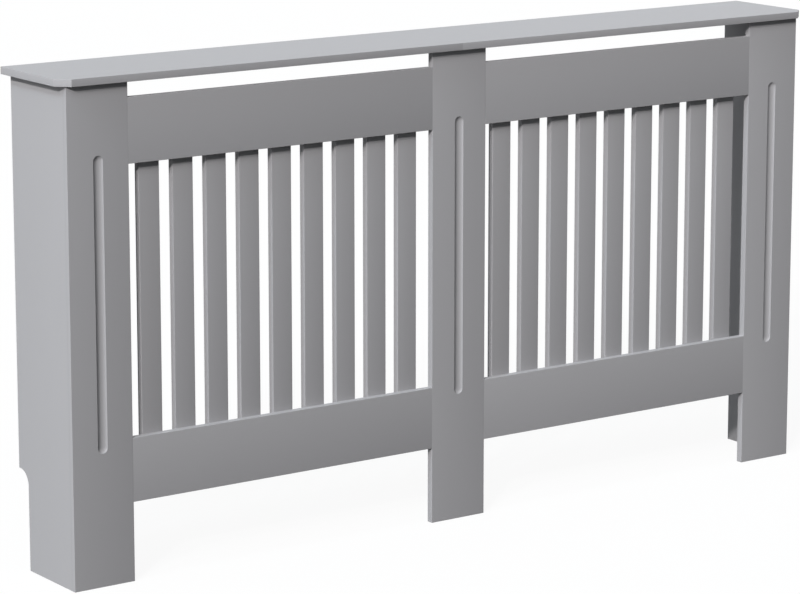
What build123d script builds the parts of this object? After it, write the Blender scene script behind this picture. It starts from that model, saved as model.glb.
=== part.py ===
from build123d import *
import os

# Radiator cover cabinet in painted board: two end panels and three grooved stiles carry a
# two-piece shelf, with rails and upright slats between the stiles. Lengths are millimetres.
# The front faces -Y, the wall is on the +Y side, and the origin is on the floor under the
# middle of the shelf.

# Shelf
SHELF_WIDTH = 1520.0
SHELF_DEPTH = 190.0
SHELF_THICKNESS = 12.0
SHELF_TOP = 815.0
SIDE_OVERHANG = 15.0
FRONT_OVERHANG = 10.0
BACK_OVERHANG = 5.0
CORNER_CLIP = 20.0
SHELF_ARRIS = 0.4

# Stiles, rails and end panels
BOARD_THICKNESS = 12.0
STILE_WIDTH = 109.0
TOP_SLOT = 25.5
TOP_RAIL_HEIGHT = 104.5
BOTTOM_RAIL_HEIGHT = 104.5
FLOOR_GAP = 130.0
PANEL_THICKNESS = 16.0
BOARD_ARRIS = 0.4

# Blind groove down the middle of each stile, cut by a round-nosed cutter
GROOVE_WIDTH = 17.5
GROOVE_DEPTH = 4.0
GROOVE_BELOW_SHELF = 112.0
GROOVE_ABOVE_FLOOR = 217.0

# Notch that lets each end panel stand over a skirting board
NOTCH_DEPTH = 30.0
NOTCH_HEIGHT = 165.0
NOTCH_RADIUS = 25.0

# Slats behind the rails, the same number in each opening
SLAT_COUNT = 9
SLAT_WIDTH = 37.0
SLAT_THICKNESS = 12.0
SLAT_LAP = 35.0

# Wooden dowels
DOWEL_DIAMETER = 6.0
DOWEL_CHAMFER = 0.6
DOWEL_COVER = 4.0
DOWEL_EDGE_DEPTH = 12.0
LONG_DOWEL_LENGTH = 30.0
RAIL_DOWEL_SPREAD = 60.0
STILE_DOWEL_SPREAD = 60.0
PANEL_DOWEL_SPREAD = 85.0
FRONT_DOWEL_SPREAD = 300.0
SEAM_DOWEL_SPREAD = 90.0
SEAM_CENTRE_Y = 15.0

# Screws
SCREW_DIAMETER = 3.0
SCREW_HEAD_DIAMETER = 6.0
SCREW_HEAD_HEIGHT = 1.8
SCREW_HEAD_FLAT = 4.2
SCREW_POINT = 2.0
SCREW_COVER = 3.0

# Sheet steel pieces
STEEL_THICKNESS = 2.0
STEEL_BEND_RADIUS = 1.0
STEEL_CORNER_RADIUS = 3.0
BRACE_LEG = 20.0
BRACE_WIDTH = 16.0
BRACE_HOLE = 13.0
BRACE_FROM_SEAM = 20.0
PANEL_BRACE_SPREAD = 50.0
PANEL_BRACE_CENTRE_Y = 40.0
PLATE_LENGTH = 40.0
PLATE_WIDTH = 16.0
PLATE_HOLE = 13.0
SEAM_PLATE_LENGTH = 64.0
SEAM_PLATE_INNER_HOLE = 10.0
SEAM_PLATE_OUTER_HOLE = 25.0
WALL_BRACKET_LEG = 30.0
WALL_BRACKET_WIDTH = 20.0
WALL_BRACKET_BELOW_SHELF = 113.0
WALL_BRACKET_FIRST_SCREW = 6.0
WALL_BRACKET_SCREW_PITCH = 11.0
WALL_HOLE_DIAMETER = 5.0
WALL_HOLE_INSET = 18.0

# Cam fittings between end panels and end stiles
CAM_DIAMETER = 15.0
CAM_BELOW_BOLT = 4.5
CAM_RECESS = 0.2
CAM_SETBACK = 24.0
CAM_END_MARGIN = 100.0
CAM_SLOT_LENGTH = 9.0
CAM_SLOT_WIDTH = 1.6
CAM_SLOT_DEPTH = 2.0
BOLT_DIAMETER = 6.0
BOLT_COVER = 2.5
BOLT_NECK_DIAMETER = 5.0
BOLT_COLLAR_DIAMETER = 7.0
BOLT_COLLAR_LENGTH = 1.5
BOLT_HEAD_DIAMETER = 7.0
BOLT_HEAD_LENGTH = 2.5
BOLT_BORE_DIAMETER = 8.0
CAM_PLAY = 0.3

# Staples that hold the slats to the rails
STAPLE_CROWN = 10.0
STAPLE_WIRE = 1.2
STAPLE_COVER = 6.0

# Clearances between what is drilled and what goes in
HOLE_FIT = 0.05
HOLE_END_GAP = 0.3
DRILL_RUN_OUT = 1.0

# Planes that the pieces share
SHELF_HALF_WIDTH = SHELF_WIDTH / 2
SHELF_FRONT_Y = -SHELF_DEPTH / 2
WALL_Y = SHELF_DEPTH / 2
UNDERSIDE_Z = SHELF_TOP - SHELF_THICKNESS
FRONT_Y = SHELF_FRONT_Y + FRONT_OVERHANG
BOARD_MIDDLE_Y = FRONT_Y + BOARD_THICKNESS / 2
BOARD_BACK_Y = FRONT_Y + BOARD_THICKNESS
SLAT_BACK_Y = BOARD_BACK_Y + SLAT_THICKNESS
PANEL_BACK_Y = WALL_Y - BACK_OVERHANG
BODY_HALF_WIDTH = SHELF_HALF_WIDTH - SIDE_OVERHANG
PANEL_MIDDLE_X = BODY_HALF_WIDTH - PANEL_THICKNESS / 2
PANEL_INNER_X = BODY_HALF_WIDTH - PANEL_THICKNESS
END_STILE_X = BODY_HALF_WIDTH - STILE_WIDTH / 2
OPENING_INNER_X = STILE_WIDTH / 2
OPENING_OUTER_X = BODY_HALF_WIDTH - STILE_WIDTH
TOP_RAIL_TOP_Z = UNDERSIDE_Z - TOP_SLOT
TOP_RAIL_BOTTOM_Z = TOP_RAIL_TOP_Z - TOP_RAIL_HEIGHT
BOTTOM_RAIL_TOP_Z = FLOOR_GAP + BOTTOM_RAIL_HEIGHT
WALL_BRACKET_Z = UNDERSIDE_Z - WALL_BRACKET_BELOW_SHELF

# Sizes of the fasteners that follow the boards
THINNEST_BOARD = min(SHELF_THICKNESS, BOARD_THICKNESS, PANEL_THICKNESS)
DOWEL_FACE_DEPTH = THINNEST_BOARD - DOWEL_COVER
SCREW_LENGTH = THINNEST_BOARD - SCREW_COVER + STEEL_THICKNESS
BOLT_BITE = BOARD_THICKNESS - BOLT_COVER
STAPLE_LENGTH = SLAT_THICKNESS + BOARD_THICKNESS - STAPLE_COVER
CAM_DEPTH = PANEL_THICKNESS / 2 + CAM_BELOW_BOLT

SIDES = {"left": -1, "right": 1}
STILES = {"left": -END_STILE_X, "centre": 0.0, "right": END_STILE_X}
RAILS = {
    "top": (TOP_RAIL_BOTTOM_Z, TOP_RAIL_TOP_Z),
    "bottom": (FLOOR_GAP, BOTTOM_RAIL_TOP_Z),
}


# ---------------------------------------------------------------- helpers


def board(x_range, y_range, z_range):
    """A plain board that fills three ranges, each given as two ends in any order."""
    ranges = (x_range, y_range, z_range)
    middle = [sum(ends) / 2 for ends in ranges]
    size = [abs(ends[1] - ends[0]) for ends in ranges]
    return Pos(*middle) * Box(*size)


def facing(x, y, z, outward, along=None):
    """A place on a face: its Z axis points out of the face, its X axis runs along it."""
    return Plane(origin=(x, y, z), x_dir=along, z_dir=outward).location


def drill(piece, tools):
    """Cut a piece with every tool that reaches it."""
    box = piece.bounding_box()
    reaching = [tool for tool in tools if tool.bounding_box().overlaps(box)]
    return piece - reaching if reaching else piece


def rod(radius, low, high):
    """A round bar along Z between two heights."""
    return Pos(0, 0, (low + high) / 2) * Cylinder(radius, high - low)


def turned(*points):
    """A turned piece from half of its outline, given as radius and height."""
    outline = Polyline(*[(radius, 0, height) for radius, height in points], close=True)
    return revolve(make_face(outline), Axis.Z)


def even_places(middle, spread):
    """Two places the same distance on each side of a middle."""
    return (middle - spread / 2, middle + spread / 2)


# ---------------------------------------------------------------- dowels


def dowel(low, high):
    """A wooden dowel with chamfered ends, along Z."""
    peg = rod(DOWEL_DIAMETER / 2, low, high)
    return chamfer(peg.edges().filter_by(GeomType.CIRCLE), DOWEL_CHAMFER)


def dowel_hole(low, high):
    """The hole for a dowel, a little wider and longer than the dowel."""
    return rod(DOWEL_DIAMETER / 2 + HOLE_FIT, low - HOLE_END_GAP, high + HOLE_END_GAP)


def short_dowel_places():
    """Joints of an edge with a face, with Z pointing into the board drilled in its face."""
    places = []
    for stile_x in STILES.values():
        for x in even_places(stile_x, STILE_DOWEL_SPREAD):
            places.append(facing(x, BOARD_MIDDLE_Y, UNDERSIDE_Z, (0, 0, 1)))
    for side in SIDES.values():
        for y in even_places(0.0, PANEL_DOWEL_SPREAD):
            places.append(facing(side * PANEL_MIDDLE_X, y, UNDERSIDE_Z, (0, 0, 1)))
        for z in even_places(UNDERSIDE_Z / 2, FRONT_DOWEL_SPREAD):
            places.append(facing(side * PANEL_MIDDLE_X, BOARD_BACK_Y, z, (0, -1, 0)))
    return places


def long_dowel_places():
    """Joints of two edges, with Z along the dowel: rails to stiles, and the shelf seam."""
    shelf_middle_z = SHELF_TOP - SHELF_THICKNESS / 2
    places = [
        facing(0, y, shelf_middle_z, (1, 0, 0)) for y in even_places(SEAM_CENTRE_Y, SEAM_DOWEL_SPREAD)
    ]
    for side in SIDES.values():
        for low, high in RAILS.values():
            for z in even_places((low + high) / 2, RAIL_DOWEL_SPREAD):
                for x in (OPENING_INNER_X, OPENING_OUTER_X):
                    places.append(facing(side * x, BOARD_MIDDLE_Y, z, (1, 0, 0)))
    return places


# ---------------------------------------------------------------- screws and steel


def screw():
    """A pan-head screw with its head's seat at Z = 0 and its point below."""
    head = SCREW_HEAD_DIAMETER / 2
    shank = SCREW_DIAMETER / 2
    return turned(
        (0, SCREW_HEAD_HEIGHT),
        (SCREW_HEAD_FLAT / 2, SCREW_HEAD_HEIGHT),
        (head, SCREW_HEAD_HEIGHT / 2),
        (head, 0),
        (shank, 0),
        (shank, SCREW_POINT - SCREW_LENGTH),
        (0, -SCREW_LENGTH),
    )


def screw_hole():
    """The hole for a screw, through the steel and into the wood."""
    return rod(SCREW_DIAMETER / 2 + HOLE_FIT, -SCREW_LENGTH - HOLE_END_GAP, DRILL_RUN_OUT)


def angle_bracket(leg, width):
    """An L of bent sheet steel: one leg along X and one along Y, from the corner at the origin."""
    inner = STEEL_THICKNESS
    corner = [(0, 0), (leg, 0), (leg, inner), (inner, inner), (inner, leg), (0, leg)]
    profile = make_face(Polyline(*corner, close=True))
    for point, radius in ((inner, STEEL_BEND_RADIUS), (0, STEEL_BEND_RADIUS + STEEL_THICKNESS)):
        profile = fillet(profile.vertices().sort_by_distance((point, point))[0], radius)
    bent = extrude(profile, width / 2, both=True)
    ends = bent.edges().filter_by(Axis.Y).group_by(Axis.X)[-1]
    ends += bent.edges().filter_by(Axis.X).group_by(Axis.Y)[-1]
    return fillet(ends, STEEL_CORNER_RADIUS)


def leg_screws(along_x, along_y):
    """Screw places on an L: distances from its corner on the X leg and on the Y leg."""
    places = [facing(x, STEEL_THICKNESS, 0, (0, 1, 0)) for x in along_x]
    return places + [facing(STEEL_THICKNESS, y, 0, (1, 0, 0)) for y in along_y]


def flat_plate(length):
    """A flat joining plate with round corners that lies on Z = 0, with its length along X."""
    return extrude(RectangleRounded(length, PLATE_WIDTH, STEEL_CORNER_RADIUS), STEEL_THICKNESS)


def plate_screws(distances):
    """Screw places on a flat plate, the same on both sides of its middle."""
    return [Pos(sign * x, 0, STEEL_THICKNESS) for x in distances for sign in (-1, 1)]


def brace_places():
    """Corners under the shelf, with X away from the upright board and Y downwards."""
    places = []
    stile_xs = (-END_STILE_X, -BRACE_FROM_SEAM, BRACE_FROM_SEAM, END_STILE_X)
    for x in stile_xs:
        places.append(facing(x, BOARD_BACK_Y, UNDERSIDE_Z, (-1, 0, 0), along=(0, 1, 0)))
    for side in SIDES.values():
        for y in even_places(PANEL_BRACE_CENTRE_Y, PANEL_BRACE_SPREAD):
            x = side * PANEL_INNER_X
            places.append(facing(x, y, UNDERSIDE_Z, (0, -side, 0), along=(-side, 0, 0)))
    return places


def rail_plate_places():
    """Backs of the joints between rails and stiles, midway between their dowels."""
    places = []
    for side in SIDES.values():
        for low, high in RAILS.values():
            for x in (OPENING_INNER_X, OPENING_OUTER_X):
                z = (low + high) / 2
                places.append(facing(side * x, BOARD_BACK_Y, z, (0, 1, 0), along=(1, 0, 0)))
    return places


def seam_plate_place():
    """The underside of the shelf at its seam, between the seam's dowels."""
    return facing(0, SEAM_CENTRE_Y, UNDERSIDE_Z, (0, 0, -1), along=(1, 0, 0))


def wall_bracket_place(side):
    """The corner of a wall bracket: X leads inwards along the wall, Y forwards on the panel."""
    x = side * PANEL_INNER_X
    return facing(x, WALL_Y, WALL_BRACKET_Z, (0, 0, side), along=(-side, 0, 0))


def wall_bracket_screws():
    """Screw places on a wall bracket's panel leg, clear of the panel's back edge."""
    first = BACK_OVERHANG + WALL_BRACKET_FIRST_SCREW
    return leg_screws((), (first, first + WALL_BRACKET_SCREW_PITCH))


def screw_places():
    """Every screw's seat, with Z pointing out at its head."""
    places = [place * hole for place in brace_places() for hole in leg_screws([BRACE_HOLE], [BRACE_HOLE])]
    places += [place * hole for place in rail_plate_places() for hole in plate_screws([PLATE_HOLE])]
    seam_holes = plate_screws([SEAM_PLATE_INNER_HOLE, SEAM_PLATE_OUTER_HOLE])
    places += [seam_plate_place() * hole for hole in seam_holes]
    for side in SIDES.values():
        places += [wall_bracket_place(side) * hole for hole in wall_bracket_screws()]
    return places


def wall_hole():
    """The hole for a wall screw, in a wall bracket's own frame."""
    bore = rod(WALL_HOLE_DIAMETER / 2, -DRILL_RUN_OUT, STEEL_THICKNESS + DRILL_RUN_OUT)
    return facing(WALL_HOLE_INSET, 0, 0, (0, 1, 0)) * bore


# ---------------------------------------------------------------- cam fittings


def cam_heights():
    """Heights of the cam fittings in each end panel."""
    return (CAM_END_MARGIN, UNDERSIDE_Z / 2, UNDERSIDE_Z - CAM_END_MARGIN)


def cam_places():
    """Pockets in the end panels' inner faces, with X pointing forwards to the bolt."""
    y = BOARD_BACK_Y + CAM_SETBACK
    return [
        facing(side * PANEL_INNER_X, y, z, (-side, 0, 0), along=(0, -1, 0))
        for side in SIDES.values()
        for z in cam_heights()
    ]


def bolt_places():
    """Bolt axes at the back of the end stiles, with Z pointing back into the panel's edge."""
    return [
        facing(side * PANEL_MIDDLE_X, BOARD_BACK_Y, z, (0, 1, 0))
        for side in SIDES.values()
        for z in cam_heights()
    ]


def cam_pocket():
    """The round pocket for a cam disc, with its mouth at Z = 0."""
    return rod(CAM_DIAMETER / 2 + HOLE_FIT, -CAM_DEPTH - HOLE_END_GAP, DRILL_RUN_OUT)


def cam_disc():
    """A cam disc: the bolt's head enters from one side and is held after a quarter turn."""
    radius = CAM_DIAMETER / 2
    reach = radius + DRILL_RUN_OUT
    bolt_height = Pos(0, 0, -PANEL_THICKNESS / 2)
    head_width = BOLT_HEAD_DIAMETER + 2 * CAM_PLAY
    neck_width = BOLT_NECK_DIAMETER + 2 * CAM_PLAY
    chamber_radius = ((BOLT_HEAD_DIAMETER / 2) ** 2 + (BOLT_HEAD_LENGTH / 2) ** 2) ** 0.5 + CAM_PLAY
    chamber = Cylinder(chamber_radius, head_width)
    neck_slot = Pos(reach / 2, 0, 0) * Box(reach, neck_width, neck_width)
    neck_track = Cylinder(reach, neck_width, arc_size=90)
    entry = Pos(0, reach / 2, 0) * Box(head_width, reach, head_width)
    driver = Box(CAM_SLOT_LENGTH, CAM_SLOT_WIDTH, 2 * CAM_SLOT_DEPTH)
    face = Pos(0, 0, -CAM_RECESS)
    disc = rod(radius, -CAM_DEPTH, -CAM_RECESS)
    disc -= bolt_height * (chamber + neck_slot + neck_track + entry)
    return disc - face * driver - face * Rot(0, 0, 90) * driver


def cam_bolt():
    """A cam bolt: thread in the stile, collar, neck, and a head inside the cam disc."""
    head_start = CAM_SETBACK - BOLT_HEAD_LENGTH / 2
    head_end = CAM_SETBACK + BOLT_HEAD_LENGTH / 2
    return turned(
        (0, -BOLT_BITE),
        (BOLT_DIAMETER / 2, -BOLT_BITE),
        (BOLT_DIAMETER / 2, 0),
        (BOLT_COLLAR_DIAMETER / 2, 0),
        (BOLT_COLLAR_DIAMETER / 2, BOLT_COLLAR_LENGTH),
        (BOLT_NECK_DIAMETER / 2, BOLT_COLLAR_LENGTH),
        (BOLT_NECK_DIAMETER / 2, head_start),
        (BOLT_HEAD_DIAMETER / 2, head_start),
        (BOLT_HEAD_DIAMETER / 2, head_end),
        (0, head_end),
    )


def bolt_bore():
    """The bolt's hole in the stile and its wider bore in the panel's edge."""
    in_stile = rod(BOLT_DIAMETER / 2 + HOLE_FIT, -BOLT_BITE - HOLE_END_GAP, 0)
    return in_stile + rod(BOLT_BORE_DIAMETER / 2, 0, CAM_SETBACK)


# ---------------------------------------------------------------- slats and staples


def slat_xs():
    """Middles of the slats in the right opening, spread with equal gaps."""
    opening = OPENING_OUTER_X - OPENING_INNER_X
    gap = (opening - SLAT_COUNT * SLAT_WIDTH) / (SLAT_COUNT + 1)
    first = OPENING_INNER_X + gap + SLAT_WIDTH / 2
    return [first + number * (SLAT_WIDTH + gap) for number in range(SLAT_COUNT)]


def slat(x):
    """One slat, with its two front edges eased."""
    blank = board(
        (x - SLAT_WIDTH / 2, x + SLAT_WIDTH / 2),
        (BOARD_BACK_Y, SLAT_BACK_Y),
        (BOTTOM_RAIL_TOP_Z - SLAT_LAP, TOP_RAIL_BOTTOM_Z + SLAT_LAP),
    )
    return fillet(blank.edges().filter_by(Axis.Z).group_by(Axis.Y)[0], BOARD_ARRIS)


def staple_places():
    """Backs of the slats where they lap the rails, with Z pointing backwards."""
    heights = (BOTTOM_RAIL_TOP_Z - SLAT_LAP / 2, TOP_RAIL_BOTTOM_Z + SLAT_LAP / 2)
    return [
        facing(side * x, SLAT_BACK_Y, z, (0, 1, 0), along=(1, 0, 0))
        for side in SIDES.values()
        for x in slat_xs()
        for z in heights
    ]


def staple_leg(width, length, top):
    """One straight leg, or the slot for it, below a given height."""
    return Pos(0, 0, top - length / 2) * Box(width, width, length)


def staple():
    """A staple with its crown on Z = 0 and both legs below."""
    crown = Pos(0, 0, STAPLE_WIRE / 2) * Box(STAPLE_CROWN, STAPLE_WIRE, STAPLE_WIRE)
    offset = (STAPLE_CROWN - STAPLE_WIRE) / 2
    leg = staple_leg(STAPLE_WIRE, STAPLE_LENGTH, 0)
    return crown + Pos(-offset, 0, 0) * leg + Pos(offset, 0, 0) * leg


def staple_slots():
    """The two slots that a staple's legs make."""
    offset = (STAPLE_CROWN - STAPLE_WIRE) / 2
    width = STAPLE_WIRE + 2 * HOLE_FIT
    slot = staple_leg(width, STAPLE_LENGTH + HOLE_END_GAP + DRILL_RUN_OUT, DRILL_RUN_OUT)
    return [Pos(-offset, 0, 0) * slot, Pos(offset, 0, 0) * slot]


# ---------------------------------------------------------------- boards


def shelf_half(side):
    """Half of the shelf, with a clipped front corner and eased edges away from the seam."""
    outline = [
        (0, SHELF_FRONT_Y),
        (side * (SHELF_HALF_WIDTH - CORNER_CLIP), SHELF_FRONT_Y),
        (side * SHELF_HALF_WIDTH, SHELF_FRONT_Y + CORNER_CLIP),
        (side * SHELF_HALF_WIDTH, WALL_Y),
        (0, WALL_Y),
    ]
    face = make_face(Pos(0, 0, UNDERSIDE_Z) * Polyline(*outline, close=True))
    half = extrude(face, SHELF_THICKNESS, dir=(0, 0, 1))
    level_edges = half.faces().filter_by(Axis.Z).edges()
    return fillet(level_edges.sort_by(lambda edge: abs(edge.center().X))[2:], SHELF_ARRIS)


def end_panel(side):
    """An end panel behind the end stile, notched at the back to pass a skirting board."""
    outline = Polyline(
        (BOARD_BACK_Y, 0),
        (BOARD_BACK_Y, UNDERSIDE_Z),
        (PANEL_BACK_Y, UNDERSIDE_Z),
        (PANEL_BACK_Y, NOTCH_HEIGHT),
        (PANEL_BACK_Y - NOTCH_DEPTH, NOTCH_HEIGHT),
        (PANEL_BACK_Y - NOTCH_DEPTH, 0),
        close=True,
    )
    profile = make_face(outline)
    notch_corner = profile.vertices().sort_by_distance((PANEL_BACK_Y - NOTCH_DEPTH, NOTCH_HEIGHT))[0]
    profile = fillet(notch_corner, NOTCH_RADIUS)
    inner_face = Plane(origin=(side * PANEL_INNER_X, 0, 0), x_dir=(0, 1, 0), z_dir=(1, 0, 0))
    return extrude(inner_face * profile, side * PANEL_THICKNESS)


def stile(x):
    """A stile with eased front edges and a blind groove with rounded ends."""
    blank = board(
        (x - STILE_WIDTH / 2, x + STILE_WIDTH / 2), (FRONT_Y, BOARD_BACK_Y), (0, UNDERSIDE_Z)
    )
    eased = fillet(blank.edges().filter_by(Axis.Z).group_by(Axis.Y)[0], BOARD_ARRIS)
    nose_radius = (GROOVE_WIDTH**2 / 4 + GROOVE_DEPTH**2) / (2 * GROOVE_DEPTH)
    low = GROOVE_ABOVE_FLOOR + GROOVE_WIDTH / 2
    high = UNDERSIDE_Z - GROOVE_BELOW_SHELF - GROOVE_WIDTH / 2
    cutter = rod(nose_radius, low, high) + Pos(0, 0, low) * Sphere(nose_radius)
    cutter += Pos(0, 0, high) * Sphere(nose_radius)
    return eased - Pos(x, FRONT_Y + GROOVE_DEPTH - nose_radius, 0) * cutter


def rail(side, z_range):
    """A rail between two stiles, with its two front edges eased."""
    blank = board(
        (side * OPENING_INNER_X, side * OPENING_OUTER_X), (FRONT_Y, BOARD_BACK_Y), z_range
    )
    return fillet(blank.edges().filter_by(Axis.X).group_by(Axis.Y)[0], BOARD_ARRIS)


# ---------------------------------------------------------------- assembly


def at(places, solids):
    """Each solid at each place, one after another."""
    return [place * solid for place in places for solid in solids]


def make_tools():
    """Every drill and cutter, at its place."""
    short_hole = dowel_hole(-DOWEL_EDGE_DEPTH, DOWEL_FACE_DEPTH)
    long_hole = dowel_hole(-LONG_DOWEL_LENGTH / 2, LONG_DOWEL_LENGTH / 2)
    return (
        at(short_dowel_places(), [short_hole])
        + at(long_dowel_places(), [long_hole])
        + at(screw_places(), [screw_hole()])
        + at(cam_places(), [cam_pocket()])
        + at(bolt_places(), [bolt_bore()])
        + at(staple_places(), staple_slots())
    )


def make_boards():
    """Every board by name, before drilling."""
    boards = {}
    for name, side in SIDES.items():
        boards[f"top_shelf_{name}"] = shelf_half(side)
        boards[f"end_panel_{name}"] = end_panel(side)
        for level, z_range in RAILS.items():
            boards[f"{level}_rail_{name}"] = rail(side, z_range)
        for number, x in enumerate(sorted(side * x for x in slat_xs()), start=1):
            boards[f"slat_{name}_{number}"] = slat(x)
    for name, x in STILES.items():
        boards[f"stile_{name}"] = stile(x)
    return boards


def make_steel():
    """Every sheet steel piece by name, before drilling."""
    steel = {
        "corner_braces": at(brace_places(), [angle_bracket(BRACE_LEG, BRACE_WIDTH)]),
        "rail_joining_plates": at(rail_plate_places(), [flat_plate(PLATE_LENGTH)]),
        "shelf_joining_plate": [seam_plate_place() * flat_plate(SEAM_PLATE_LENGTH)],
    }
    for name, side in SIDES.items():
        bracket = angle_bracket(WALL_BRACKET_LEG, WALL_BRACKET_WIDTH) - wall_hole()
        steel[f"wall_bracket_{name}"] = [wall_bracket_place(side) * bracket]
    return steel


def make_fasteners():
    """Every kind of small fastener by name."""
    short = dowel(-DOWEL_EDGE_DEPTH, DOWEL_FACE_DEPTH)
    long = dowel(-LONG_DOWEL_LENGTH / 2, LONG_DOWEL_LENGTH / 2)
    return {
        "short_dowels": at(short_dowel_places(), [short]),
        "long_dowels": at(long_dowel_places(), [long]),
        "screws": at(screw_places(), [screw()]),
        "cam_discs": at(cam_places(), [cam_disc()]),
        "cam_bolts": at(bolt_places(), [cam_bolt()]),
        "slat_staples": at(staple_places(), [staple()]),
    }


def main():
    """Build every piece and write one file per node."""
    tools = make_tools()
    nodes = {name: [drill(piece, tools)] for name, piece in make_boards().items()}
    for name, pieces in make_steel().items():
        nodes[name] = [drill(piece, tools) for piece in pieces]
    nodes.update(make_fasteners())
    os.makedirs("parts", exist_ok=True)
    for name, pieces in nodes.items():
        solids = [solid for piece in pieces for solid in piece.solids()]
        shape = solids[0] if len(solids) == 1 else Compound(solids)
        export_step(shape, f"parts/{name}.step")
        print(f"{name}: {len(solids)} solids")


main()
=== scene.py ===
"""Looks of a painted radiator cover cabinet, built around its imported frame.

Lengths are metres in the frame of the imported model: the front faces -Y, the wall is on the +Y
side, and the origin is on the floor under the middle of the shelf.
"""

import logging
import math
from abc import ABC, abstractmethod
from collections.abc import Callable
from dataclasses import dataclass
from enum import Enum
from typing import Any

import bmesh
import bpy
from mathutils import Matrix, Vector


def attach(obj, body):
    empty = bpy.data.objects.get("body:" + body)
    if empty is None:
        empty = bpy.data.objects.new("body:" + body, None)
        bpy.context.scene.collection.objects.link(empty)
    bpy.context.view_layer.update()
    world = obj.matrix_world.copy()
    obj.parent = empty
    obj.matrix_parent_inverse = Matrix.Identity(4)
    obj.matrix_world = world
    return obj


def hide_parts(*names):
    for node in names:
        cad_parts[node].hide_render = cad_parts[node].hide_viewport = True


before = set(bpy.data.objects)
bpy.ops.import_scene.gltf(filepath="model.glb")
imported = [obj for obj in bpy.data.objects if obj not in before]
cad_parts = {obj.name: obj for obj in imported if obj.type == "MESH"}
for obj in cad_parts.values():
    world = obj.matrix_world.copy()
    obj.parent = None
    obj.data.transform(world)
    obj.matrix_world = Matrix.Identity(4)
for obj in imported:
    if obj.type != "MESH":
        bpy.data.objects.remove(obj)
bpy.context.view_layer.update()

LOG = logging.getLogger("radiator_cover")
BODY = "root"
QUARTER_TURN = math.pi / 2

Triple = tuple[float, float, float]
Colour = tuple[float, float, float]

WHITE: Colour = (1.0, 1.0, 1.0)


# ------------------------------------------------------------------ shader expressions

# Noise lies between 0 and 1, about this value.
NOISE_MIDDLE = 0.5
# Numbers of a Mix node's colour sockets, whose names are also those of its other sockets.
MIX_SHARE, MIX_LOW, MIX_HIGH = 0, 6, 7
MIX_RESULT = 2
# How far the rounded normal leaves the plain one where an edge starts to show and is full.
EDGE_STARTS, EDGE_IS_FULL = 0.02, 0.25
EDGE_SAMPLES = 6


@dataclass(frozen=True)
class Signal:
    """A value or colour that a material works out at each point of a surface."""

    desk: "Desk"
    socket: bpy.types.NodeSocket

    def _math(self, operation: str, *values: "Signal | float") -> "Signal":
        """Add one Math node, with its inputs in order, and take what it gives."""
        inputs = dict(enumerate(values))
        return self.desk.signal("ShaderNodeMath", {"operation": operation}, inputs)

    def __add__(self, other: "Signal | float") -> "Signal":
        """Sum."""
        return self._math("ADD", self, other)

    def __radd__(self, other: float) -> "Signal":
        """Sum with a number on the left."""
        return self._math("ADD", other, self)

    def __sub__(self, other: "Signal | float") -> "Signal":
        """Difference."""
        return self._math("SUBTRACT", self, other)

    def __rsub__(self, other: float) -> "Signal":
        """Difference from a number on the left."""
        return self._math("SUBTRACT", other, self)

    def __mul__(self, other: "Signal | float") -> "Signal":
        """Product."""
        return self._math("MULTIPLY", self, other)

    def __rmul__(self, other: float) -> "Signal":
        """Product with a number on the left."""
        return self._math("MULTIPLY", other, self)

    def __neg__(self) -> "Signal":
        """The value with its sign turned."""
        return self * -1.0

    def above(self, low: float, high: float) -> "Signal":
        """A smooth step from 0 at low to 1 at high.

        Args:
            low: where the step starts.
            high: where it ends.

        Returns:
            The step, between 0 and 1.
        """
        settings = {"interpolation_type": "SMOOTHSTEP"}
        inputs = {"Value": self, "From Min": low, "From Max": high}
        return self.desk.signal("ShaderNodeMapRange", settings, inputs)

    def clamped(self) -> "Signal":
        """The value kept between 0 and 1."""
        return self.desk.signal("ShaderNodeClamp", {}, {"Value": self})


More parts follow.
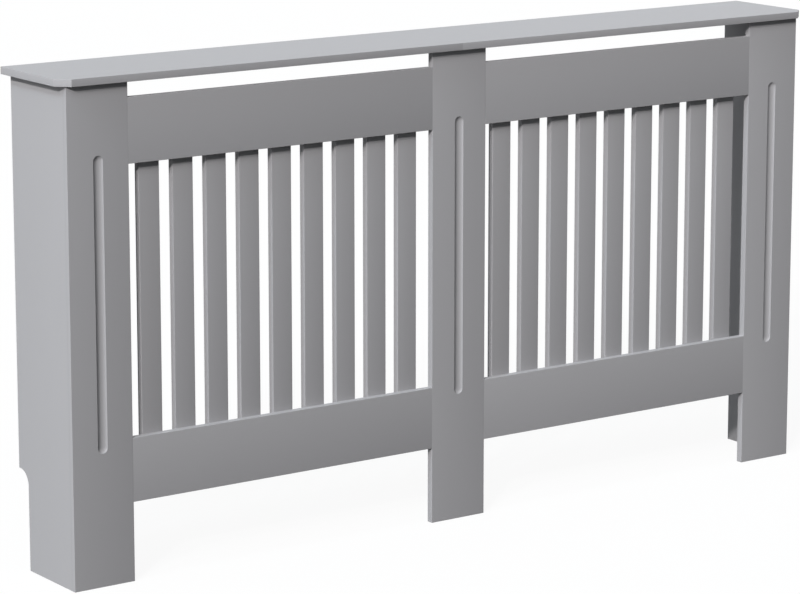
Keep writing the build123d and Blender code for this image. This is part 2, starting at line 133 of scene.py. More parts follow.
class Desk:
    """Lays out the nodes of one material or of the world."""

    def __init__(self, tree: bpy.types.NodeTree) -> None:
        """Start with an empty tree."""
        self.tree = tree
        tree.nodes.clear()

    def node(
        self,
        kind: str,
        settings: dict[str, Any] | None = None,
        inputs: dict[str | int, Any] | None = None,
    ) -> bpy.types.Node:
        """Add any node.

        Args:
            kind: the node's type.
            settings: properties that are set first, such as a Math node's operation.
            inputs: sockets by name or number, each with a value or a link.

        Returns:
            The new node.
        """
        made = self.tree.nodes.new(kind)
        for name, value in (settings or {}).items():
            setattr(made, name, value)
        for key, value in (inputs or {}).items():
            self._feed(made.inputs[key], value)
        return made

    def signal(
        self,
        kind: str,
        settings: dict[str, Any] | None = None,
        inputs: dict[str | int, Any] | None = None,
        output: str | int = 0,
    ) -> Signal:
        """Add any node and take one of its outputs, by name or number."""
        return Signal(self, self.node(kind, settings, inputs).outputs[output])

    def _feed(self, socket: bpy.types.NodeSocket, value: Any) -> None:
        """Link a signal to a socket, or set the socket's own value.

        Args:
            socket: the socket.
            value: a signal, a number, a vector or a colour.
        """
        if isinstance(value, Signal):
            self.tree.links.new(value.socket, socket)
        elif socket.type == "RGBA":
            socket.default_value = (*value, 1.0)
        else:
            socket.default_value = value

    def place(self, stretch: Triple = (1.0, 1.0, 1.0)) -> Signal:
        """Points of the surface in metres, each axis times its own factor.

        Args:
            stretch: factors for the three axes.

        Returns:
            The scaled coordinates.
        """
        points = self.signal("ShaderNodeTexCoord", output="Object")
        settings = {"operation": "MULTIPLY"}
        return self.signal("ShaderNodeVectorMath", settings, {0: points, 1: stretch})

    def parts(self, vector: Signal) -> tuple[Signal, Signal, Signal]:
        """The X, Y and Z of a vector."""
        split = self.node("ShaderNodeSeparateXYZ", {}, {"Vector": vector}).outputs
        return tuple(Signal(self, split[axis]) for axis in "XYZ")

    def agreement(self, first: Signal, second: Signal | Vector) -> Signal:
        """The dot product of two directions, which is 1 where they are the same."""
        settings = {"operation": "DOT_PRODUCT"}
        return self.signal("ShaderNodeVectorMath", settings, {0: first, 1: second}, "Value")

    def noise(self, scale: float, detail: float = 2.0, points: Signal | None = None) -> Signal:
        """Noise between 0 and 1.

        Args:
            scale: features for each unit of the coordinates.
            detail: octaves.
            points: coordinates, the surface's own in metres if left out.

        Returns:
            The noise.
        """
        inputs = {"Vector": points or self.place(), "Scale": scale, "Detail": detail}
        return self.signal("ShaderNodeTexNoise", {}, inputs, "Fac")

    def grain(self, to_a_metre: Triple, detail: float) -> Signal:
        """Noise between 0 and 1 with its own number of features to a metre on each axis."""
        return self.noise(1.0, detail, self.place(to_a_metre))

    def blend(self, share: Signal, low: Colour, high: Colour) -> Signal:
        """Mix two colours, with the first where the share is 0 and the second where it is 1."""
        inputs = {MIX_SHARE: share, MIX_LOW: low, MIX_HIGH: high}
        return self.signal("ShaderNodeMix", {"data_type": "RGBA"}, inputs, MIX_RESULT)

    def blend_shaders(self, share: Signal | float, first: Signal, second: Signal) -> Signal:
        """Mix two shaders, with the first where the share is 0 and the second where it is 1."""
        return self.signal("ShaderNodeMixShader", {}, {0: share, 1: first, 2: second})

    def shade(self, colour: Signal | Colour, factor: Signal) -> Signal:
        """A colour times a factor that changes over the surface."""
        settings = {"operation": "SCALE"}
        return self.signal("ShaderNodeVectorMath", settings, {0: colour, "Scale": factor})

    def bump(self, height: Signal, depth: float) -> Signal:
        """A normal from a height between 0 and 1, which is the depth in metres at 1."""
        return self.signal("ShaderNodeBump", {}, {"Height": height, "Distance": depth})

    def edge(self, radius: float) -> Signal:
        """How near a point lies to an edge of its piece.

        Args:
            radius: width of the band along each edge, in metres.

        Returns:
            0 on flat stretches, towards 1 on an edge.
        """
        rounded = self.signal("ShaderNodeBevel", {"samples": EDGE_SAMPLES}, {"Radius": radius})
        plain = self.signal("ShaderNodeNewGeometry", output="Normal")
        return (1.0 - self.agreement(rounded, plain)).above(EDGE_STARTS, EDGE_IS_FULL)


# ------------------------------------------------------------------ finishes

# A face starts to count as turned one way at this part of its normal, and counts wholly at 1.
FACING_STARTS = 0.5


class Finish(ABC):
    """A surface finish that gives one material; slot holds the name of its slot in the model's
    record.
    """

    name: str
    slot: str

    def material(self) -> bpy.types.Material:
        """The finish's material, made at its first use.

        Returns:
            The material.
        """
        made = bpy.data.materials.get(self.name)
        if made is None:
            made = bpy.data.materials.new(self.name)
            made.use_nodes = True
            desk = Desk(made.node_tree)
            shader = desk.signal("ShaderNodeBsdfPrincipled", {}, self.inputs(desk))
            desk.node("ShaderNodeOutputMaterial", {}, {"Surface": shader})
        return made

    @abstractmethod
    def inputs(self, desk: Desk) -> dict[str, Any]:
        """What feeds the surface shader.

        Args:
            desk: where the nodes go.

        Returns:
            Sockets of the shader by name, each with a value or a link.
        """

    def dress(self, piece: bpy.types.Object) -> None:
        """Give a piece this finish alone."""
        piece.data.materials.clear()
        piece.data.materials.append(self.material())


@dataclass(frozen=True)
class SprayedPaint(Finish):
    """Satin grey paint, sprayed on smooth board.

    The drifts are painted shade: shares of the tone that are taken off over a whole board, to
    the right and down on its front, backwards and down on its left side. The shade to the right
    takes nothing off at its middle share of the width, and lifts the tone before it. The lift to
    the right is painted light: the share that is added over each metre along the wall.
    """

    name: str = "sprayed_grey_paint"
    slot: str = "painted_board"
    colour: Colour = (0.386, 0.382, 0.394)
    mottle: float = 0.02
    clouds_to_a_metre: float = 9.0
    specks_to_a_metre: float = 700.0
    # A painted highlight along every edge of a board.
    edge_highlight_and_wear: float = 0.06
    edge_band: float = 0.0012
    # Shares of painted shade across each board, and of painted light along the wall.
    painted_shade_right: float = 0.155
    painted_shade_middle: float = 0.25
    painted_shade_down: float = 0.175
    side_painted_shade_back: float = 0.045
    side_painted_shade_down: float = 0.08
    painted_light_to_the_right: float = 0.03
    roughness: float = 0.55
    roughness_spread: float = 0.06
    streaks_to_a_metre: float = 60.0
    shine: float = 0.2
    peel_pitch: float = 0.0022
    peel_depth: float = 0.00002

    def inputs(self, desk: Desk) -> dict[str, Any]:
        """Mottled paint with painted shade across each board, a painted highlight on its edges and
        a fine orange peel.

        Args:
            desk: where the nodes go.

        Returns:
            Inputs of the surface shader.
        """
        clouds = desk.noise(self.clouds_to_a_metre, detail=3.0) - NOISE_MIDDLE
        specks = desk.noise(self.specks_to_a_metre, detail=1.0) - NOISE_MIDDLE
        along_the_wall, _, _ = desk.parts(desk.place())
        tone = 1.0 + self.mottle * clouds + self.mottle * specks
        # Painted shade across each board.
        tone = tone * (1.0 - self._painted_shade(desk))
        # Painted light: a little lighter along the wall to the right.
        tone = tone * (1.0 + self.painted_light_to_the_right * along_the_wall)
        # Painted highlight on the edges.
        tone = tone * (1.0 + self.edge_highlight_and_wear * desk.edge(self.edge_band))
        streaks = desk.noise(self.streaks_to_a_metre) - NOISE_MIDDLE
        peel = desk.noise(1.0 / self.peel_pitch)
        return {
            "Base Color": desk.shade(self.colour, tone),
            "Roughness": self.roughness + self.roughness_spread * streaks,
            "Specular IOR Level": self.shine,
            "Normal": desk.bump(peel, self.peel_depth),
        }

    def _painted_shade(self, desk: Desk) -> Signal:
        """The painted shade: a slow change of tone over the front and the left face of a board.

        Args:
            desk: where the nodes go.

        Returns:
            The share that is taken off, 0 on faces that look another way.
        """
        right, back, rise = desk.parts(desk.signal("ShaderNodeTexCoord", output="Generated"))
        normal = desk.signal("ShaderNodeNewGeometry", output="Normal")
        normal_x, normal_y, _ = desk.parts(normal)
        front = (-normal_y).above(FACING_STARTS, 1.0)
        left = (-normal_x).above(FACING_STARTS, 1.0)
        fall = 1.0 - rise
        # Painted shade: darker to the right and down on fronts, backwards and down on left faces.
        on_front = self.painted_shade_right * (right - self.painted_shade_middle) + self.painted_shade_down * fall
        on_left = self.side_painted_shade_back * back + self.side_painted_shade_down * fall
        return front * on_front + left * on_left


@dataclass(frozen=True)
class ZincPlate(Finish):
    """Zinc-plated sheet steel or wire."""

    name: str = "zinc_plated_sheet"
    slot: str = "zinc_plated_steel"
    bright: Colour = (0.66, 0.67, 0.69)
    dull: Colour = (0.52, 0.54, 0.57)
    spangles_to_a_metre: float = 260.0
    marks_to_a_metre: Triple = (400.0, 400.0, 6000.0)
    roughness: float = 0.36
    roughness_spread: float = 0.14
    edge_band: float = 0.0006
    edge_highlight_and_wear: float = 0.15
    edge_polish: float = 0.08
    scratch_depth: float = 0.00001

    def inputs(self, desk: Desk) -> dict[str, Any]:
        """Plating with soft spangle, brushed marks and bright edges.

        Args:
            desk: where the nodes go.

        Returns:
            Inputs of the surface shader.
        """
        spangle = desk.noise(self.spangles_to_a_metre, detail=3.0)
        marks = desk.grain(self.marks_to_a_metre, detail=3.0)
        worn = desk.edge(self.edge_band)
        colour = desk.blend(spangle, self.dull, self.bright)
        roughness = self.roughness + self.roughness_spread * (marks - NOISE_MIDDLE)
        return {
            "Base Color": desk.shade(colour, 1.0 + self.edge_highlight_and_wear * worn),
            "Metallic": 1.0,
            "Roughness": roughness - self.edge_polish * worn,
            "Normal": desk.bump(marks, self.scratch_depth),
        }


@dataclass(frozen=True)
class CastZinc(Finish):
    """Die-cast zinc with a slightly grainy skin."""

    name: str = "die_cast_zinc"
    slot: str = "cast_zinc"
    bright: Colour = (0.60, 0.61, 0.62)
    dull: Colour = (0.44, 0.45, 0.47)
    clouds_to_a_metre: float = 220.0
    grains_to_a_metre: float = 1800.0
    grain_depth: float = 0.00003
    roughness: float = 0.44
    roughness_spread: float = 0.16
    edge_band: float = 0.0005
    edge_highlight_and_wear: float = 0.4
    edge_polish: float = 0.1

    def inputs(self, desk: Desk) -> dict[str, Any]:
        """Grainy casting skin, bright where edges rub.

        Args:
            desk: where the nodes go.

        Returns:
            Inputs of the surface shader.
        """
        grain = desk.noise(self.grains_to_a_metre)
        clouds = desk.noise(self.clouds_to_a_metre)
        worn = desk.edge(self.edge_band)
        brightness = (clouds + self.edge_highlight_and_wear * worn).clamped()
        roughness = self.roughness + self.roughness_spread * (grain - NOISE_MIDDLE)
        return {
            "Base Color": desk.blend(brightness, self.dull, self.bright),
            "Metallic": 1.0,
            "Roughness": roughness - self.edge_polish * worn,
            "Normal": desk.bump(grain, self.grain_depth),
        }


@dataclass(frozen=True)
class BeechDowel(Finish):
    """Straight-grained beech, for rods that lie along Y or Z unless its grain is turned."""

    name: str = "beech_dowel_rod"
    slot: str = "dowel_wood"
    pale: Colour = (0.66, 0.46, 0.27)
    dark: Colour = (0.48, 0.30, 0.16)
    grain_to_a_metre: Triple = (1800.0, 140.0, 140.0)
    grain_depth: float = 0.00006
    flecks_to_a_metre: Triple = (3600.0, 700.0, 700.0)
    fleck_starts: float = 0.62
    fleck_is_full: float = 0.72
    fleck_share: float = 0.35
    roughness: float = 0.62
    roughness_spread: float = 0.12

    def inputs(self, desk: Desk) -> dict[str, Any]:
        """Long grain with short darker rays.

        Args:
            desk: where the nodes go.

        Returns:
            Inputs of the surface shader.
        """
        grain = desk.grain(self.grain_to_a_metre, detail=4.0)
        flecks = desk.grain(self.flecks_to_a_metre, detail=1.0)
        rays = flecks.above(self.fleck_starts, self.fleck_is_full)
        darkness = (grain + self.fleck_share * rays).clamped()
        return {
            "Base Color": desk.blend(darkness, self.pale, self.dark),
            "Roughness": self.roughness + self.roughness_spread * (grain - NOISE_MIDDLE),
            "Normal": desk.bump(grain, self.grain_depth),
        }


# ------------------------------------------------------------------ objects and meshes

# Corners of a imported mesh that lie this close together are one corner.
WELD_DISTANCE = 1e-6
# Corners beyond this share of a solid's greatest radius belong to its wide end.
WIDE_SHARE = 0.95


@dataclass(frozen=True)
class Solid:
    """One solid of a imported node: its middle, its long axis towards its wide end, its length."""

    middle: Vector
    outward: Vector
    length: float


def packed_solids(node: str) -> list[Solid]:
    """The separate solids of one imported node, each longest along X, Y or Z.

    Args:
        node: the node's name.

    Returns:
        The solids, in the order of their first corners.
    """
    welded = bmesh.new()
    welded.from_mesh(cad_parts[node].data)
    bmesh.ops.remove_doubles(welded, verts=welded.verts, dist=WELD_DISTANCE)
    solids = []
    for start in welded.verts:
        if start.tag:
            continue
        start.tag = True
        reached = [start]
        for corner in reached:
            for edge in corner.link_edges:
                other = edge.other_vert(corner)
                if not other.tag:
                    other.tag = True
                    reached.append(other)
        solids.append(measured([corner.co.copy() for corner in reached]))
    welded.free()
    return solids


def measured(corners: list[Vector]) -> Solid:
    """Find the long axis of a solid and its wide end.

    Args:
        corners: points of its surface.

    Returns:
        The solid.
    """
    low = Vector([min(corner[axis] for corner in corners) for axis in range(3)])
    high = Vector([max(corner[axis] for corner in corners) for axis in range(3)])
    spans = high - low
    middle = (low + high) / 2
    axis = max(range(3), key=lambda number: spans[number])
    outward = Vector((0.0, 0.0, 0.0))
    outward[axis] = 1.0
    radii = [(corner - middle).cross(outward).length for corner in corners]
    limit = max(radii) * WIDE_SHARE
    wide = [
        corner[axis] - middle[axis]
        for corner, radius in zip(corners, radii)
        if radius > limit
    ]
    if sum(wide) < 0.0:
        outward[axis] = -1.0
    return Solid(middle, outward, spans[axis])


def placed(origin: Vector, upward: Vector) -> Matrix:
    """From a place's own frame, whose Z axis points upward, to the cabinet's."""
    return Matrix.Translation(origin) @ upward.to_track_quat("Z", "Y").to_matrix().to_4x4()


def added(name: str, data: bpy.types.ID) -> bpy.types.Object:
    """Add an object to the scene.

    Args:
        name: its name.
        data: its mesh, lamp or camera.

    Returns:
        The object.
    """
    made = bpy.data.objects.new(name, data)
    bpy.context.scene.collection.objects.link(made)
    return made


def skin(shape: bmesh.types.BMesh, rings: list[list[bmesh.types.BMVert]]) -> None:
    """Join rings of corners with faces, with a ring of one corner as a tip.

    Args:
        shape: the mesh that holds the rings.
        rings: corners in order round each ring.
    """
    for first, second in zip(rings, rings[1:]):
        sides = max(len(first), len(second))
        for number in range(sides):
            after = (number + 1) % sides
            if len(first) == 1:
                shape.faces.new((first[0], second[number], second[after]))
            elif len(second) == 1:
                shape.faces.new((first[number], second[0], first[after]))
            else:
                shape.faces.new((first[number], second[number], second[after], first[after]))


def capped(shape: bmesh.types.BMesh, rings: list[list[bmesh.types.BMVert]]) -> None:
    """Join rings of corners with faces, and close both ends.

    Args:
        shape: the mesh that holds the rings.
        rings: corners in order round each ring.
    """
    skin(shape, rings)
    shape.faces.new(reversed(rings[0]))
    shape.faces.new(rings[-1])


def finished(shape: bmesh.types.BMesh, name: str) -> bpy.types.Mesh:
    """End a mesh in the making, with its faces turned outwards.

    Args:
        shape: the mesh in the making.
        name: name of the mesh.

    Returns:
        The mesh.
    """
    bmesh.ops.recalc_face_normals(shape, faces=shape.faces)
    mesh = bpy.data.meshes.new(name)
    shape.to_mesh(mesh)
    shape.free()
    return mesh


def turned(
    outline: list[tuple[float, float]],
    sides: int,
    relief: Callable[[float, float], float],
) -> bpy.types.Mesh:
    """Turn an outline about Z.

    Args:
        outline: radius and height of each point, with radius 0 at both ends.
        sides: facets round the axis.
        relief: how far the surface lies inside the outline at an angle and a height.

    Returns:
        The mesh.
    """
    shape = bmesh.new()
    rings = []
    for radius, height in outline:
        ring = []
        for number in range(sides if radius else 1):
            angle = math.tau * number / sides
            inner = radius - relief(angle, height) if radius else 0.0
            corner = (inner * math.cos(angle), inner * math.sin(angle), height)
            ring.append(shape.verts.new(corner))
        rings.append(ring)
    skin(shape, rings)
    return finished(shape, "turned")


def carved(body: bpy.types.Mesh, cutter: bpy.types.Mesh) -> bpy.types.Mesh:
    """Cut one closed mesh out of another.

    Args:
        body: what is cut.
        cutter: what is taken away.

    Returns:
        The cut mesh.
    """
    blocks = [added(mesh.name, mesh) for mesh in (body, cutter)]
    cut = blocks[0].modifiers.new("cut", "BOOLEAN")
    cut.operation = "DIFFERENCE"
    cut.solver = "EXACT"
    cut.object = blocks[1]
    graph = bpy.context.evaluated_depsgraph_get()
    result = bpy.data.meshes.new_from_object(blocks[0].evaluated_get(graph))
    for block in blocks:
        mesh = block.data
        bpy.data.objects.remove(block)
        bpy.data.meshes.remove(mesh)
    return result


# ------------------------------------------------------------------ boards and fittings


class Level(Enum):
    """The two rails of each opening."""

    TOP = "top"
    BOTTOM = "bottom"


class Hand(Enum):
    """The two halves of the cabinet."""

    LEFT = "left"
    RIGHT = "right"


@dataclass
class Boards:
    """All painted boards: shelf, end panels, stiles, rails and slats."""

    finish: SprayedPaint = SprayedPaint()
    # The same paint with less painted shade towards the bottom, for the stiles.
    stile_shaded_finish: SprayedPaint = SprayedPaint("sprayed_grey_paint_shaded_for_stiles", painted_shade_down=0.115)
    slats_to_an_opening: int = 9

    def names(self) -> list[str]:
        """Names of the nodes: the centre stile, then the left and the right half.

        Returns:
            One name for each board.
        """
        found = ["stile_centre"]
        for hand in Hand:
            found += [f"top_shelf_{hand.value}", f"end_panel_{hand.value}", f"stile_{hand.value}"]
            found += [f"{level.value}_rail_{hand.value}" for level in Level]
            numbers = range(1, self.slats_to_an_opening + 1)
            found += [f"slat_{hand.value}_{number}" for number in numbers]
        return found

    def build(self) -> None:
        """Paint every board."""
        for name in self.names():
            finish = self.stile_shaded_finish if name.startswith("stile") else self.finish
            finish.dress(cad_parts[name])
            LOG.info("painted %s", name)


@dataclass
class SheetSteel:
    """Braces, plates, wall brackets and cam fittings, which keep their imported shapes."""

    plate: ZincPlate = ZincPlate()
    casting: CastZinc = CastZinc()

    def build(self) -> None:
        """Dress every fitting."""
        plated = ["corner_braces", "rail_joining_plates", "shelf_joining_plate", "cam_bolts"]
        plated += [f"wall_bracket_{hand.value}" for hand in Hand]
        for name in plated:
            self.plate.dress(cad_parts[name])
            LOG.info("plated %s", name)
        self.casting.dress(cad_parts["cam_discs"])
        LOG.info("cast cam_discs")


@dataclass
class SmallPieces(ABC):
    """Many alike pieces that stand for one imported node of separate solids."""

    sides: int = 24
    crease: float = math.radians(40)

    @abstractmethod
    def pattern(self, length: float) -> bpy.types.Mesh:
        """One piece in its own frame.

        Args:
            length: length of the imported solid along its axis.

        Returns:
            The mesh.
        """

    @abstractmethod
    def seat(self, solid: Solid) -> Matrix:
        """Where the piece goes.

        Args:
            solid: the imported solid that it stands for.

        Returns:
            From the piece's own frame to the cabinet's.
        """

    def build_all(self, node: str, piece_name: str, finish: Finish) -> None:
        """Make every piece of one node as one object.

        Args:
            node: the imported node.
            piece_name: name of the new object.
            finish: what it is made of.
        """
        joined = bmesh.new()
        for solid in packed_solids(node):
            copy = self.pattern(solid.length)
            copy.transform(self.seat(solid))
            joined.from_mesh(copy)
            bpy.data.meshes.remove(copy)
        mesh = finished(joined, piece_name)
        mesh.shade_smooth()
        mesh.set_sharp_from_angle(angle=self.crease)
        piece = added(piece_name, mesh)
        finish.dress(piece)
        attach(piece, BODY)
        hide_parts(node)
        LOG.info("made %s for %s", piece_name, node)


@dataclass
class PanHeadScrews(SmallPieces):
    """Zinc-plated pan-head screws with a cross recess, their seats at Z = 0."""

    finish: ZincPlate = ZincPlate()
    head_radius: float = 0.003
    head_height: float = 0.0018
    rim_height: float = 0.0006
    shank_radius: float = 0.0015
    point_length: float = 0.002
    recess_reach: float = 0.0017
    recess_width: float = 0.0010
    recess_depth: float = 0.0012
    recess_taper: float = 0.5
    thread_pitch: float = 0.0012
    thread_depth: float = 0.0004
    rings_to_a_turn: int = 4
    dome_steps: int = 5

    def build(self) -> None:
        """Make the screws."""
        self.build_all("screws", "pan_head_screws", self.finish)

    def pattern(self, length: float) -> bpy.types.Mesh:
        """One screw with its head up.

        Args:
            length: from the top of the head to the point.

        Returns:
            The mesh.
        """
        dome = self.head_height - self.rim_height
        outline = [(0.0, self.head_height)]
        for step in range(1, self.dome_steps + 1):
            turn = QUARTER_TURN * step / self.dome_steps
            height = self.rim_height + dome * math.cos(turn)
            outline.append((self.head_radius * math.sin(turn), height))
        outline += [(self.head_radius, 0.0), (self.shank_radius, 0.0)]
        tip = self.head_height - length
        rise = self.thread_pitch / self.rings_to_a_turn
        rings = round((-tip - self.point_length) / rise)
        outline += [(self.shank_radius, -rise * ring) for ring in range(1, rings + 1)]
        outline += [(self.shank_radius / 2, tip + self.point_length / 2), (0.0, tip)]
        body = turned(outline, self.sides, self._thread)
        return carved(body, self._recess())

    def _thread(self, angle: float, height: float) -> float:
        """How far the thread's flanks lie inside the shank's radius.

        Args:
            angle: round the axis.
            height: along the axis, below 0 on the shank.

        Returns:
            The depth, 0 on the head.
        """
        if height >= 0.0:
            return 0.0
        phase = (height / self.thread_pitch + angle / math.tau) % 1.0
        return self.thread_depth * (1.0 - abs(2.0 * phase - 1.0))

    def _recess(self) -> bpy.types.Mesh:
        """The tapered cross that a driver fits.

        Returns:
            A closed cutter.
        """
        reach, half = self.recess_reach, self.recess_width / 2
        arm = [(reach, -half), (reach, half), (half, half)]
        cross = []
        for quarter in range(4):
            cosine, sine = math.cos(quarter * QUARTER_TURN), math.sin(quarter * QUARTER_TURN)
            cross += [(x * cosine - y * sine, x * sine + y * cosine) for x, y in arm]
        levels = [
            (self.recess_taper, self.head_height - self.recess_depth),
            (1.0, self.head_height),
            (1.0 + self.recess_taper, self.head_height + self.recess_depth),
        ]
        cutter = bmesh.new()
        rings = [
            [cutter.verts.new((x * size, y * size, height)) for x, y in cross]
            for size, height in levels
        ]
        capped(cutter, rings)
        return finished(cutter, "driver_recess")

    def seat(self, solid: Solid) -> Matrix:
        """The head's seat on the steel, with Z out of it."""
        top = solid.middle + solid.outward * (solid.length / 2)
        return placed(top - solid.outward * self.head_height, solid.outward)


@dataclass
class Dowels(SmallPieces):
    """Fluted beech dowels, their middles at the origin: short ones, and long ones along X."""

    short_finish: BeechDowel = BeechDowel()
    long_finish: BeechDowel = BeechDowel(
        "beech_dowel_rod_along_the_wall",
        grain_to_a_metre=(140.0, 1800.0, 1800.0),
        flecks_to_a_metre=(700.0, 3600.0, 3600.0),
    )
    radius: float = 0.003
    flute_depth: float = 0.00018
    chamfer: float = 0.0006

    def build(self) -> None:
        """Make both kinds of dowel."""
        self.build_all("short_dowels", "fluted_short_dowels", self.short_finish)
        self.build_all("long_dowels", "fluted_long_dowels", self.long_finish)

    def pattern(self, length: float) -> bpy.types.Mesh:
        """One dowel along Z.

        Args:
            length: its length.

        Returns:
            The mesh.
        """
        end = length / 2
        narrow = self.radius - self.chamfer
        outline = [
            (0.0, end),
            (narrow, end),
            (self.radius, end - self.chamfer),
            (self.radius, self.chamfer - end),
            (narrow, -end),
            (0.0, -end),
        ]
        return turned(outline, self.sides, self._flute)

    def _flute(self, angle: float, height: float) -> float:
        """How deep the flutes are at an angle, the same at every height."""
        step = round(angle / math.tau * self.sides)
        return self.flute_depth * (step % 2)

    def seat(self, solid: Solid) -> Matrix:
        """The middle of the dowel, with Z along it."""
        return placed(solid.middle, solid.outward)


@dataclass
class Staples(SmallPieces):
    """Wire staples at the backs of the slats: crown along X, legs along -Z, chisel tips."""

    finish: ZincPlate = ZincPlate()
    crown: float = 0.010
    wire: float = 0.0012
    bend_radius: float = 0.0012
    bend_steps: int = 5
    section_sides: int = 10
    tip_share: float = 0.15

    def build(self) -> None:
        """Make the staples."""
        self.build_all("slat_staples", "wire_staples", self.finish)

    def pattern(self, length: float) -> bpy.types.Mesh:
        """One staple with the outside of its crown at Z = 0.

        Args:
            length: from the crown's outside to the tips.

        Returns:
            The mesh.
        """
        line = self._middle_line(length)
        arm = self.wire / 2
        staple = bmesh.new()
        rings = []
        for place, (across, height, heading) in enumerate(line):
            share = self.tip_share if place in (0, len(line) - 1) else 1.0
            aside = heading - QUARTER_TURN
            side = Vector((math.cos(aside), 0.0, math.sin(aside)))
            ring = []
            for number in range(self.section_sides):
                angle = math.tau * number / self.section_sides
                out = side * (arm * share * math.cos(angle))
                corner = (across + out.x, arm * math.sin(angle), height + out.z)
                ring.append(staple.verts.new(corner))
            rings.append(ring)
        capped(staple, rings)
        return finished(staple, "staple")

    def _middle_line(self, length: float) -> list[Triple]:
        """The middle line of the wire, from one tip to the other.

        Args:
            length: from the crown's outside to the tips.

        Returns:
            Place along X, height and heading at each point.
        """
        half, arm = self.crown / 2 - self.wire / 2, self.wire / 2
        bend = self.bend_radius
        line = [(half, -length, QUARTER_TURN)]
        for step in range(self.bend_steps + 1):
            turn = QUARTER_TURN * step / self.bend_steps
            across = half - bend + bend * math.cos(turn)
            line.append((across, -arm - bend + bend * math.sin(turn), QUARTER_TURN + turn))
        far_half = [(-across, height, math.tau - turn) for across, height, turn in reversed(line)]
        return line + far_half

    def seat(self, solid: Solid) -> Matrix:
        """The outside of the crown at the back of a slat, with the legs towards the front.

        Args:
            solid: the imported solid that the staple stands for.

        Returns:
            From the staple's own frame to the cabinet's.
        """
        sideways, backward = Vector((1.0, 0.0, 0.0)), Vector((0.0, 1.0, 0.0))
        top = solid.middle + backward * (solid.length / 2)
        turn = Matrix((sideways, backward.cross(sideways), backward)).transposed()
        return Matrix.Translation(top) @ turn.to_4x4()


# ------------------------------------------------------------------ studio

WARM_LIGHT: Colour = (1.03, 1.0, 0.99)
COOL_LIGHT: Colour = (0.95, 1.0, 1.03)
BLUE_LIGHT: Colour = (0.84, 1.0, 1.10)


@dataclass(frozen=True)
class Viewpoint:
    """The photograph's camera, solved from the cabinet's straight edges.

    The yaw is counted from +Y towards +X and the pitch upwards, both in radians. The focal
    length and the row of the lens axis are in pixels of the photograph.
    """

    place: Triple = (-3.15941, -4.39823, 1.51740)
    yaw: float = 0.613784
    pitch: float = -0.186635
    focal_px: float = 3252.13
    axis_row_px: float = 224.55
    image_px: tuple[int, int] = (800, 594)
    sensor_mm: float = 36.0
    far_limit: float = 200.0

    def build(self) -> None:
        """Make the camera and use it for the scene."""
        wide, high = self.image_px
        data = bpy.data.cameras.new("viewpoint")
        data.sensor_width = self.sensor_mm
        data.lens = self.focal_px / wide * self.sensor_mm
        data.shift_y = (self.axis_row_px - high / 2) / wide
        data.clip_end = self.far_limit
        camera = added("viewpoint", data)
        level = math.cos(self.pitch)
        aim = (math.sin(self.yaw) * level, math.cos(self.yaw) * level, math.sin(self.pitch))
        camera.location = self.place
        camera.rotation_mode = "QUATERNION"
        camera.rotation_quaternion = Vector(aim).to_track_quat("-Z", "Y")
        bpy.context.scene.camera = camera


def towards_light(azimuth: float, height: float) -> Vector:
    """The way to a light that stands on the left, turned towards the front.

    Args:
        azimuth: the turn, in degrees.
        height: above the horizon, in degrees.

    Returns:
        A direction of length 1.
    """
    turn, rise = math.radians(azimuth), math.radians(height)
    level = math.cos(rise)
    return Vector((-level * math.cos(turn), -level * math.sin(turn), math.sin(rise)))


@dataclass(frozen=True)
class Glow:
    """A soft lobe of the dome around one direction, given as for a lamp."""

    azimuth: float
    height: float
    strength: float

    def light(self, desk: Desk, sight: Signal) -> Signal:
        """How bright the lobe is in the direction of sight."""
        near = desk.agreement(sight, towards_light(self.azimuth, self.height)).clamped()
        return self.strength * near * near


@dataclass(frozen=True)
class Lamp:
    """A far lamp: its azimuth and height in degrees, and the angle that it fills in radians."""

    name: str
    azimuth: float
    height: float
    strength: float
    colour: Colour = WHITE
    angle: float = 0.13

    def build(self) -> None:
        """Add the lamp to the scene."""
        data = bpy.data.lights.new(self.name, "SUN")
        data.energy = self.strength
        data.angle = self.angle
        data.color = self.colour
        lamp = added(self.name, data)
        lamp.rotation_mode = "QUATERNION"
        shines_from = towards_light(self.azimuth, self.height)
        lamp.rotation_quaternion = shines_from.to_track_quat("Z", "Y")


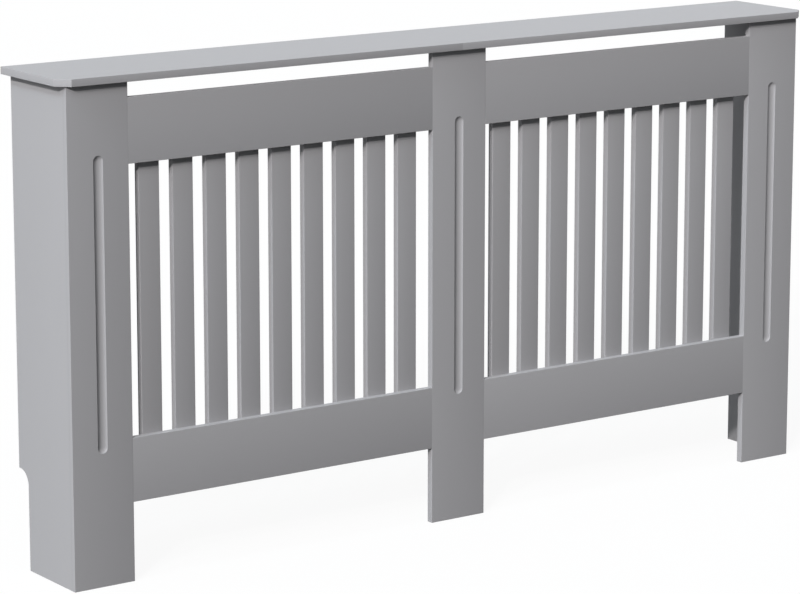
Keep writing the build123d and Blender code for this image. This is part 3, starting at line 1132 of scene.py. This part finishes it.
@dataclass(frozen=True)
class Studio:
    """Pale floor, a soft dome that is brightest overhead and to the left, and far lamps."""

    floor_half_width: float = 60.0
    floor_pale: Colour = (0.80, 0.80, 0.80)
    floor_bounce: Colour = (0.05, 0.05, 0.05)
    floor_white_share: float = 0.93
    overhead: Glow = Glow(azimuth=90, height=90, strength=0.64)
    side: Glow = Glow(azimuth=0, height=10, strength=0.88)
    dome_colour: Colour = (0.955, 1.0, 1.03)
    lamps: tuple[Lamp, ...] = (
        Lamp("key_front", azimuth=39.6, height=29, strength=1.62, colour=WARM_LIGHT, angle=0.06),
        Lamp("key_side", azimuth=30, height=30, strength=1.12, colour=WARM_LIGHT, angle=0.05),
        Lamp("halo_side", azimuth=10, height=50, strength=0.69, colour=BLUE_LIGHT),
        Lamp("halo_front", azimuth=38, height=46, strength=0.58, colour=COOL_LIGHT, angle=0.2),
        Lamp("behind", azimuth=-90, height=3, strength=0.5, angle=0.3),
    )

    def build(self) -> None:
        """Make the floor, the world and the lamps."""
        self._floor()
        self._world()
        for lamp in self.lamps:
            lamp.build()

    def _floor(self) -> None:
        """A broad plane under the cabinet, white to the camera except for the shadow."""
        half = self.floor_half_width
        corners = [(-half, -half, 0), (half, -half, 0), (half, half, 0), (-half, half, 0)]
        mesh = bpy.data.meshes.new("studio_floor")
        mesh.from_pydata(corners, [], [(0, 1, 2, 3)])
        floor = added("studio_floor", mesh)
        material = bpy.data.materials.new("studio_floor")
        material.use_nodes = True
        desk = Desk(material.node_tree)
        pale = desk.signal("ShaderNodeBsdfDiffuse", {}, {"Color": self.floor_pale})
        white = desk.signal("ShaderNodeEmission", {}, {"Color": WHITE, "Strength": 1.0})
        shown = desk.blend_shaders(self.floor_white_share, pale, white)
        bounce = desk.signal("ShaderNodeBsdfDiffuse", {}, {"Color": self.floor_bounce})
        surface = desk.blend_shaders(self._direct_sight(desk), bounce, shown)
        desk.node("ShaderNodeOutputMaterial", {}, {"Surface": surface})
        mesh.materials.append(material)

    def _direct_sight(self, desk: Desk) -> Signal:
        """1 for what the camera, a mirror or clear glass shows, and 0 for soft light.

        Args:
            desk: where the nodes go.

        Returns:
            The switch.
        """
        rays = desk.node("ShaderNodeLightPath").outputs
        camera, mirror, clear = (
            Signal(desk, rays[kind])
            for kind in ("Is Camera Ray", "Is Glossy Ray", "Is Transmission Ray")
        )
        return (camera + mirror + clear).clamped()

    def _world(self) -> None:
        """White to the camera, and a soft dome for the light."""
        world = bpy.data.worlds.new("studio")
        world.use_nodes = True
        bpy.context.scene.world = world
        desk = Desk(world.node_tree)
        sight = desk.signal("ShaderNodeTexCoord", output="Generated")
        strength = self.overhead.light(desk, sight) + self.side.light(desk, sight)
        inputs = {"Color": self.dome_colour, "Strength": strength}
        dome = desk.signal("ShaderNodeBackground", {}, inputs)
        white = desk.signal("ShaderNodeBackground", {}, {"Color": WHITE})
        surface = desk.blend_shaders(self._direct_sight(desk), dome, white)
        desk.node("ShaderNodeOutputWorld", {}, {"Surface": surface})


# ------------------------------------------------------------------ making


def main() -> None:
    """Build the camera, the studio and every piece, in order."""
    logging.basicConfig(level=logging.INFO, format="%(message)s")
    bpy.context.scene.view_settings.view_transform = "Standard"
    Viewpoint().build()
    Studio().build()
    Boards().build()
    SheetSteel().build()
    PanHeadScrews().build()
    Staples().build()
    Dowels().build()


if __name__ == "__main__":
    main()
